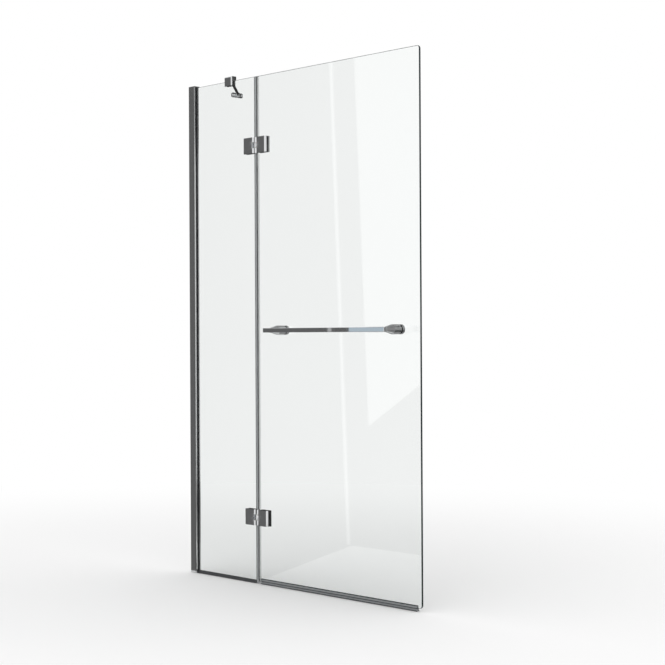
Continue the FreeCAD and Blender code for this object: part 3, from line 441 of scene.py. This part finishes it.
class MaterialNodes(Nodes):
    """A new material, with short calls for its shader and for its object's coordinates."""

    def __init__(self, name):
        self.material = bpy.data.materials.new(name)
        self.material.use_nodes = True
        super().__init__(self.material.node_tree)
        self.shader = self.tree.nodes["Principled BSDF"]
        self.out = self.tree.nodes["Material Output"]
        self.place = self.add("TexCoord").outputs["Object"]

    def set(self, **values):
        """Uniform values, set on the shader's own sockets."""
        for name, value in values.items():
            self.shader.inputs[name.replace("_", " ")].default_value = value

    def along(self, axis):
        """The place along one axis."""
        node = self.add("SeparateXYZ")
        self.link(self.place, node.inputs["Vector"])
        return node.outputs[axis]

    def noise(self, scale, detail=3.0, stretch=(1, 1, 1)):
        """Noise in the object's own coordinates, drawn out along an axis if asked."""
        mapping = self.add("Mapping")
        mapping.inputs["Scale"].default_value = stretch
        self.link(self.place, mapping.inputs["Vector"])
        noise = self.add("TexNoise")
        noise.inputs["Scale"].default_value = scale
        noise.inputs["Detail"].default_value = detail
        self.link(mapping.outputs["Vector"], noise.inputs["Vector"])
        return noise.outputs["Fac"]

    def shades(self, noise, tint, darker):
        """The colour, and towards one end of the noise a darker one."""
        dark = (*[channel * darker for channel in tint], 1)
        self.link(self.blend(noise, dark, (*tint, 1)), self.shader.inputs["Base Color"])

    def rough(self, noise, low, high):
        """Roughness that wanders between two values."""
        value = self.spread(noise, NOISE_LOW, NOISE_HIGH, low, high)
        self.link(value, self.shader.inputs["Roughness"])

    def bump(self, height, depth):
        """Relief of the given depth in metres."""
        node = self.add("Bump")
        node.inputs["Distance"].default_value = depth
        self.link(height, node.inputs["Height"])
        self.link(node.outputs["Normal"], self.shader.inputs["Normal"])

    def retint(self, share, other, other_first):
        """Blend the colour so far with another one, which may come first or second."""
        so_far = self.shader.inputs["Base Color"].links[0].from_socket
        pair = ((*other, 1), so_far) if other_first else (so_far, (*other, 1))
        self.link(self.blend(share, *pair), self.shader.inputs["Base Color"])

    def passes(self, share, low, high):
        """How much light goes through, from low to high over a share of 0 to 1."""
        value = self.spread(share, 0, 1, low, high)
        self.link(value, self.shader.inputs["Transmission Weight"])


def glass_finish(name):
    """Toughened glass: clear, a little green in its depth, with the furnace's faint waves."""
    nodes = MaterialNodes(name)
    nodes.set(Transmission_Weight=1.0, IOR=1.5)
    nodes.shades(nodes.noise(2.2, detail=1.0), colours().glass, darker=0.985)
    nodes.rough(nodes.noise(5.0, detail=2.0), low=0.0, high=0.012)
    nodes.bump(nodes.noise(3.0, detail=0.0, stretch=(1, 1, 0.4)), depth=0.00008)
    inside = nodes.add("VolumeAbsorption")
    inside.inputs["Color"].default_value = (*colours().glass_depth, 1)
    inside.inputs["Density"].default_value = GLASS_ABSORPTION
    nodes.link(inside.outputs["Volume"], nodes.out.inputs["Volume"])
    return nodes.material


def glass_edge_finish(name):
    """Polished edge of the glass, where one looks along the depth of the pane."""
    nodes = MaterialNodes(name)
    nodes.set(Transmission_Weight=0.35, IOR=1.5)
    nodes.shades(nodes.noise(120.0), colours().glass_edge, darker=0.7)
    nodes.rough(nodes.noise(200.0), low=0.12, high=0.22)
    nodes.bump(nodes.noise(150.0, detail=1.0), depth=0.00001)
    return nodes.material


def chrome_finish(name):
    """Plated brass: a mirror with faint haze and the soft waves of hand polishing."""
    nodes = MaterialNodes(name)
    nodes.set(Metallic=1.0)
    nodes.shades(nodes.noise(60.0), colours().chrome, darker=0.94)
    nodes.rough(nodes.noise(90.0), low=0.05, high=0.11)
    nodes.bump(nodes.noise(45.0, detail=1.0), depth=0.00006)
    return nodes.material


def profile_finish(name):
    """Bright anodised aluminium with the fine lines of extrusion along its length."""
    nodes = MaterialNodes(name)
    lines = nodes.noise(900.0, detail=2.0, stretch=(1, 1, 0.004))
    nodes.set(Metallic=1.0)
    nodes.shades(lines, colours().aluminium, darker=0.90)
    nodes.rough(nodes.noise(7.0), low=0.10, high=0.17)
    nodes.bump(lines, depth=0.00002)
    return nodes.material


def plated_finish(name):
    """Plated moulding: like chrome, with the faint peel of a plated plastic."""
    nodes = MaterialNodes(name)
    nodes.set(Metallic=1.0)
    nodes.shades(nodes.noise(220.0), colours().chrome, darker=0.90)
    nodes.rough(nodes.noise(150.0), low=0.10, high=0.18)
    nodes.bump(nodes.noise(420.0, detail=1.0), depth=0.00003)
    return nodes.material


def steel_finish(name):
    """Stainless steel with a fine grain, a little dull."""
    nodes = MaterialNodes(name)
    nodes.set(Metallic=1.0)
    nodes.shades(nodes.noise(700.0), colours().steel, darker=0.85)
    nodes.rough(nodes.noise(500.0), low=0.22, high=0.34)
    nodes.bump(nodes.noise(1500.0), depth=0.00002)
    return nodes.material


def cloudy_seal(name):
    """The nodes of the soft cloudy seal, whose skin is faintly uneven."""
    nodes = MaterialNodes(name)
    nodes.set(Transmission_Weight=SEAL_PASSES, IOR=1.46)
    cloud = nodes.noise(50.0, detail=1.0)
    nodes.shades(cloud, colours().seal, darker=0.94)
    nodes.rough(cloud, low=0.14, high=0.24)
    nodes.bump(nodes.noise(300.0, detail=1.0), depth=0.00001)
    return nodes


def seal_finish(name):
    """The plain cloudy seal."""
    return cloudy_seal(name).material


def edge_seal_finish(name):
    """The door edge's seal: a cloudy bulb in the gap and clear lips on the glass."""
    nodes = cloudy_seal(name)
    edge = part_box("door_glass")[0].x
    on_glass = nodes.spread(nodes.along("X"), edge - LIP_BLUR, edge + LIP_BLUR)
    nodes.passes(on_glass, SEAL_PASSES, LIP_PASSES)
    nodes.retint(on_glass, colours().seal_lip, other_first=False)
    return nodes.material


def bottom_seal_finish(name):
    """The bottom seal: cloudy, with painted shade in dark lines where its lips, its floor and
    its fins lie edge on.
    """
    nodes = cloudy_seal(name)
    low, high = (corner.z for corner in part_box("door_bottom_seal"))
    pitch = (high - low - LINE_INSET * 2) / 2
    above_line = nodes.maths("SUBTRACT", nodes.along("Z"), low + LINE_INSET)
    from_line = nodes.maths("PINGPONG", above_line, pitch / 2)
    between = nodes.spread(from_line, LINE_START, LINE_STOP)
    nodes.retint(between, colours().seal_shade_line, other_first=True)
    nodes.passes(between, LINE_PASSES, WALL_PASSES)
    return nodes.material


def gasket_finish(name):
    """Dark soft gasket with a satin skin."""
    nodes = MaterialNodes(name)
    nodes.set(IOR=1.5)
    nodes.shades(nodes.noise(300.0), colours().gasket, darker=0.75)
    nodes.rough(nodes.noise(120.0), low=0.38, high=0.55)
    nodes.bump(nodes.noise(900.0), depth=0.00004)
    return nodes.material


def rubber_finish(name):
    """Black rubber with a matt, finely pitted skin."""
    nodes = MaterialNodes(name)
    nodes.set(IOR=1.5)
    nodes.shades(nodes.noise(400.0), colours().rubber, darker=0.70)
    nodes.rough(nodes.noise(260.0), low=0.60, high=0.80)
    nodes.bump(nodes.noise(1300.0), depth=0.00006)
    return nodes.material


def nylon_finish(name):
    """Natural nylon, slightly waxy and see-through at the skin."""
    nodes = MaterialNodes(name)
    nodes.set(IOR=1.53, Subsurface_Weight=0.15, Subsurface_Scale=0.002)
    nodes.shades(nodes.noise(180.0), colours().nylon, darker=0.93)
    nodes.rough(nodes.noise(300.0), low=0.36, high=0.48)
    nodes.bump(nodes.noise(800.0), depth=0.00003)
    return nodes.material


# The record's slots, and then the looks that only a part of a slot has.
FINISHES = {
    "clear_glass": ("toughened_glass", glass_finish),
    "bright_profile": ("anodised_profile", profile_finish),
    "chrome_fittings": ("chrome_plate", chrome_finish),
    "plated_plastic": ("plated_moulding", plated_finish),
    "clear_seal": ("cloudy_seal", seal_finish),
    "grey_gasket": ("dark_gasket", gasket_finish),
    "black_rubber": ("matt_rubber", rubber_finish),
    "white_nylon": ("natural_nylon", nylon_finish),
    "steel_fixings": ("brushed_steel", steel_finish),
    "ground_edge": ("glass_edge", glass_edge_finish),
    "door_edge_seal": ("edge_seal", edge_seal_finish),
    "door_foot_seal": ("bottom_seal", bottom_seal_finish),
}


def finish(look):
    """The material of a slot or look, made when it is first asked for."""
    name, make = FINISHES[look]
    return bpy.data.materials.get(name) or make(name)


# ---- operators -----------------------------------------------------------------------------

class SCREEN_OT_small_parts(bpy.types.Operator):
    """Finish the small parts that keep their construction shape"""

    bl_idname = "bath_screen.small_parts"
    bl_label = "Small Parts"

    def execute(self, context):
        for name, node in frame["nodes"].items():
            node.data.materials.clear()
            node.data.materials.append(finish(slot_of(name)))
        return {"FINISHED"}


class SCREEN_OT_glass(bpy.types.Operator):
    """Add the two panes, with ground edges"""

    bl_idname = "bath_screen.glass"
    bl_label = "Glass Panes"

    def execute(self, context):
        for node, name in (("fixed_glass", "fixed_pane"), ("door_glass", "door_pane")):
            pane = dress(node, name, sizes().glass_arris, segments=1)
            pane.data.materials.append(finish("ground_edge"))
            for face in pane.data.polygons:
                face.material_index = int(abs(face.normal.y) < PANE_FACE)
        return {"FINISHED"}


class SCREEN_OT_wall_profile(bpy.types.Operator):
    """Add the wall channel, the carrier, the top cap and the screw covers"""

    bl_idname = "bath_screen.wall_profile"
    bl_label = "Wall Profile"

    def execute(self, context):
        for node, name in (
            ("wall_channel", "channel_shell"),
            ("glass_carrier", "carrier_shell"),
            ("channel_top_cap", "top_cap_shell"),
            ("screw_cover_caps", "cover_cap_shells"),
        ):
            dress(node, name, sizes().profile_edge)
        return {"FINISHED"}


class SCREEN_OT_hinges(bpy.types.Operator):
    """Add both hinges' leaves, back plates and screws"""

    bl_idname = "bath_screen.hinges"
    bl_label = "Hinges"

    def execute(self, context):
        for hinge in HINGES:
            for part in ("fixed_leaf", "door_leaf", "fixed_back_plate", "door_back_plate"):
                dress(f"{hinge}_{part}", f"{hinge}_{part}_shell", sizes().fitting_edge)
        for node in ("fixed_leaf_screws", "door_leaf_screws"):
            dress(node, f"{node}_cut", sizes().screw_edge, cut=cut_sockets)
        return {"FINISHED"}


class SCREEN_OT_brace(bpy.types.Operator):
    """Add the clamp, the arm and the wall foot of the brace"""

    bl_idname = "bath_screen.brace"
    bl_label = "Brace"

    def execute(self, context):
        for part in ("brace_clamp", "brace_arm", "brace_wall_foot"):
            dress(part, f"{part}_shell", sizes().fitting_edge)
        return {"FINISHED"}


class SCREEN_OT_towel_rail(bpy.types.Operator):
    """Add the bar, the posts and the buttons of the towel rail"""

    bl_idname = "bath_screen.towel_rail"
    bl_label = "Towel Rail"

    def execute(self, context):
        dress("rail_bar", "bar_shell", sizes().fitting_edge)
        for end in ("left", "right"):
            dress(f"rail_{end}_post", f"{end}_post_shell", sizes().post_edge, segments=3)
            dress(f"rail_{end}_button", f"{end}_button_shell", sizes().button_edge, segments=3)
        return {"FINISHED"}


class SCREEN_OT_seals(bpy.types.Operator):
    """Add the door's seals, the base strip and the gaskets"""

    bl_idname = "bath_screen.seals"
    bl_label = "Seals"

    def execute(self, context):
        width = sizes().seal_edge
        for part in ("lower", "middle", "upper"):
            dress(f"door_edge_seal_{part}", f"edge_seal_{part}_shell", width,
                  look="door_edge_seal")
        dress("door_bottom_seal", "bottom_seal_shell", width, look="door_foot_seal")
        dress("fixed_base_strip", "base_strip_shell", width)
        for side in ("front", "back"):
            dress(f"{side}_gasket", f"{side}_gasket_shell", width)
        return {"FINISHED"}


def before_screen(outline):
    """A card's corners in the plane before the screen, from their x and z."""
    return [(x, FRONT_Y, z) for x, z in outline]


def upright(start, stop, foot, top):
    """A card's corners where it stands on the line from start to stop."""
    return [(*start, foot), (*stop, foot), (*stop, top), (*start, top)]


def level(low, high, z):
    """A card's corners where it lies at a height, from two opposite ones."""
    (left, front), (right, back) = low, high
    return [(left, front, z), (right, front, z), (right, back, z), (left, back, z)]


class SCREEN_OT_stage(bpy.types.Operator):
    """Set the floor, the studio and the camera"""

    bl_idname = "bath_screen.stage"
    bl_label = "Stage"

    def execute(self, context):
        self.add_floor()
        self.set_world(context.scene)
        self.add_cards()
        self.add_near_cards()
        self.add_lamp()
        self.add_camera(context.scene)
        context.scene.view_settings.view_transform = "Standard"
        return {"FINISHED"}

    def add_floor(self):
        """A wide pale floor that fades into the backdrop."""
        bpy.ops.object.select_all(action="DESELECT")
        bpy.ops.mesh.primitive_plane_add(
            size=stage().floor_reach * 2, location=(0, 0, -FLOOR_DROP)
        )
        floor = bpy.context.object
        floor.name = "floor"
        nodes = MaterialNodes("floor_paint")
        nodes.set(
            Roughness=0.9, Specular_IOR_Level=0.0, Base_Color=(*stage().floor_colour, 1)
        )
        reach = nodes.add("VectorMath", operation="LENGTH")
        nodes.link(nodes.place, reach.inputs[0])
        fade = nodes.spread(
            reach.outputs["Value"], FADE_START, FADE_STOP, interpolation_type="SMOOTHSTEP"
        )
        share = nodes.maths("MULTIPLY", fade, nodes.looked_at())
        white = nodes.add("Emission").outputs["Emission"]
        faded = nodes.mix(share, nodes.shader.outputs["BSDF"], white)
        nodes.link(faded, nodes.out.inputs["Surface"])
        floor.data.materials.append(nodes.material)

    def set_world(self, scene):
        """White to the eye, in the metal and through the glass, and even fill on the rest."""
        world = bpy.data.worlds.new("studio")
        scene.world = world
        world.use_nodes = True
        nodes = Nodes(world.node_tree)
        back = nodes.tree.nodes["Background"]
        back.inputs["Color"].default_value = (1, 1, 1, 1)
        strength = nodes.spread(nodes.looked_at(), 0, 1, low=stage().fill, high=1)
        nodes.link(strength, back.inputs["Strength"])

    def add_cards(self):
        """Dark cards round the screen, seen only in what the metal and the glass mirror, as
        painted reflections.
        """
        plain, middle, black = (
            [shade] * 3
            for shade in (stage().card_grey, stage().card_middle, stage().card_black)
        )
        foot = [(x, y, FOOT_CARD_Z) for x, y in FOOT_CARD]
        # The side card pales from black at its foot to grey up high: a painted reflection,
        # black in the lower hinge's side and grey in the upper one's.
        for name, corners, low_shade, high_shade in (
            ("front_card", before_screen(FRONT_CARD), plain, plain),
            ("strip_card", before_screen(STRIP_CARD), plain, plain),
            ("low_card", before_screen(LOW_CARD), plain, plain),
            ("side_card", upright(SIDE_BACK, SIDE_FRONT, 0, CARD_TOP), black, middle),
            ("high_card", upright(HIGH_BACK, SIDE_BACK, HIGH_FOOT, CARD_TOP), black, black),
            ("back_card", upright(BACK_LEFT, BACK_RIGHT, BACK_FOOT, BACK_TOP), black, black),
            ("end_card", upright(SIDE_FRONT, END_FRONT, 0, CARD_TOP), middle, middle),
            ("roof_card", level(ROOF_LOW, ROOF_HIGH, ROOF_Z), middle, middle),
            ("corner_card", level(CORNER_LOW, CORNER_HIGH, GROUND_Z), middle, middle),
            ("ground_card", level(GROUND_LOW, GROUND_HIGH, GROUND_Z), middle, middle),
            ("foot_card", foot, plain, plain),
            ("under_card", level(UNDER_LOW, UNDER_HIGH, UNDER_Z), black, black),
        ):
            self.add_card(name, corners, low_shade, high_shade)

    def add_near_cards(self):
        """A painted white highlight along each hinge's knuckles, and the painted reflections
        that give the rail's bar its tones.
        """
        for hinge in HINGES:
            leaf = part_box(f"{hinge}_door_leaf")
            middle_z = (leaf[0].z + leaf[1].z) / 2
            span = (middle_z - HINGE_HALF, middle_z + HINGE_HALF)
            self.add_near_card(
                f"{hinge}_card", HINGE_LINE, HINGE_FACE_Y, span, [HINGE_HIGHLIGHT] * 3
            )
        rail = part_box("rail_bar")
        span = (rail[0].z - RAIL_UNDER, rail[1].z + RAIL_OVER)
        plain, bright = [stage().card_grey] * 3, [stage().card_bright] * 3
        names = ("rail_left_card", "rail_line_card", "rail_middle_card", "rail_right_card")
        shades = (plain, bright, plain, stage().card_pale)
        for name, across, shade in zip(names, zip(RAIL_STOPS, RAIL_STOPS[1:]), shades):
            self.add_near_card(name, across, rail[0].y, span, shade)

    def add_near_card(self, name, across, face_y, heights, shade):
        """A card close in front, where the camera sees it mirrored in one part of a face, as a
        painted reflection.
        """
        eye = Vector(stage().camera_place)
        share = (face_y - NEAR_CARD_Y) / (face_y - eye.y)
        left, right = (x - share * (eye.x - x) for x in across)
        low, high = (z - share * (eye.z - z) for z in heights)
        corners = upright((left, NEAR_CARD_Y), (right, NEAR_CARD_Y), low, high)
        self.add_card(name, corners, shade, shade)

    def add_card(self, name, corners, low_shade, high_shade):
        """One card with four corners, glowing in a shade that may pale with its height, which
        paints a reflection.
        """
        bpy.ops.object.select_all(action="DESELECT")
        bpy.ops.mesh.primitive_plane_add(size=2)
        card = bpy.context.object
        card.name = name
        round_the_plane = (0, 1, 3, 2)
        for vertex, corner in zip(round_the_plane, corners):
            card.data.vertices[vertex].co = corner
        card.data.materials.append(self.reflection_glow(f"{name}_cloth", low_shade, high_shade))
        card.visible_camera = False
        card.visible_diffuse = False
        card.visible_shadow = False

    def reflection_glow(self, name, low_shade, high_shade):
        """A glow that shows its shade only after a mirror, as a painted reflection, and is
        clear to everything else.
        """
        nodes = MaterialNodes(name)
        rise = nodes.spread(nodes.along("Z"), PALE_START, PALE_STOP)
        glow = nodes.add("Emission")
        nodes.link(
            nodes.blend(rise, (*low_shade, 1), (*high_shade, 1)), glow.inputs["Color"]
        )
        depth = nodes.add("LightPath").outputs["Glossy Depth"]
        mirrored = nodes.maths("GREATER_THAN", depth, MIRRORED)
        clear = nodes.add("BsdfTransparent").outputs["BSDF"]
        shown = nodes.mix(mirrored, clear, glow.outputs["Emission"])
        nodes.link(shown, nodes.out.inputs["Surface"])
        nodes.material.cycles.emission_sampling = "NONE"
        return nodes.material

    def add_lamp(self):
        """One large soft lamp over the camera's left shoulder."""
        bpy.ops.object.select_all(action="DESELECT")
        bpy.ops.object.light_add(type="AREA", location=LAMP_PLACE)
        lamp = bpy.context.object
        lamp.name = "key_lamp"
        lamp.data.shape = "RECTANGLE"
        lamp.data.size = LAMP_WIDE
        lamp.data.size_y = LAMP_DEEP
        lamp.data.energy = stage().key_power
        aim = Vector(LAMP_AIM) - lamp.location
        lamp.rotation_euler = aim.to_track_quat("-Z", "Y").to_euler()

    def add_camera(self, scene):
        """The camera of the photograph."""
        bpy.ops.object.select_all(action="DESELECT")
        bpy.ops.object.camera_add(location=stage().camera_place)
        camera = bpy.context.object
        turn = Matrix.Rotation(stage().camera_turn, 4, "Z")
        tilt = Matrix.Rotation(tau / 4 + stage().camera_tilt, 4, "X")
        roll = Matrix.Rotation(stage().camera_roll, 4, "Z")
        camera.rotation_euler = (turn @ tilt @ roll).to_euler()
        camera.data.lens = stage().lens
        camera.data.clip_end = SIGHT
        scene.camera = camera


class SCREEN_PT_panel(bpy.types.Panel):
    """Lists the operators and the settings in the sidebar"""

    bl_idname = "SCREEN_PT_panel"
    bl_label = "Bath Screen"
    bl_space_type = "VIEW_3D"
    bl_region_type = "UI"
    bl_category = "Bath Screen"

    def draw(self, context):
        for operator in OPERATORS:
            self.layout.operator(operator.bl_idname)
        for group in (sizes(), colours(), stage()):
            box = self.layout.box()
            for name in group.bl_rna.properties.keys():
                if name not in ("rna_type", "name"):
                    box.prop(group, name)


OPERATORS = (
    SCREEN_OT_small_parts,
    SCREEN_OT_glass,
    SCREEN_OT_wall_profile,
    SCREEN_OT_hinges,
    SCREEN_OT_brace,
    SCREEN_OT_towel_rail,
    SCREEN_OT_seals,
    SCREEN_OT_stage,
)
CLASSES = (ScreenSizes, ScreenColours, ScreenStage, *OPERATORS, SCREEN_PT_panel)


def register():
    for item in CLASSES:
        bpy.utils.register_class(item)
    bpy.types.Scene.bath_screen_sizes = bpy.props.PointerProperty(type=ScreenSizes)
    bpy.types.Scene.bath_screen_colours = bpy.props.PointerProperty(type=ScreenColours)
    bpy.types.Scene.bath_screen_stage = bpy.props.PointerProperty(type=ScreenStage)


def unregister():
    del bpy.types.Scene.bath_screen_stage
    del bpy.types.Scene.bath_screen_colours
    del bpy.types.Scene.bath_screen_sizes
    for item in reversed(CLASSES):
        bpy.utils.unregister_class(item)


def main():
    """Make the whole scene."""
    register()
    for operator in OPERATORS:
        group, name = operator.bl_idname.split(".")
        getattr(getattr(bpy.ops, group), name)()


if __name__ == "__main__":
    main()
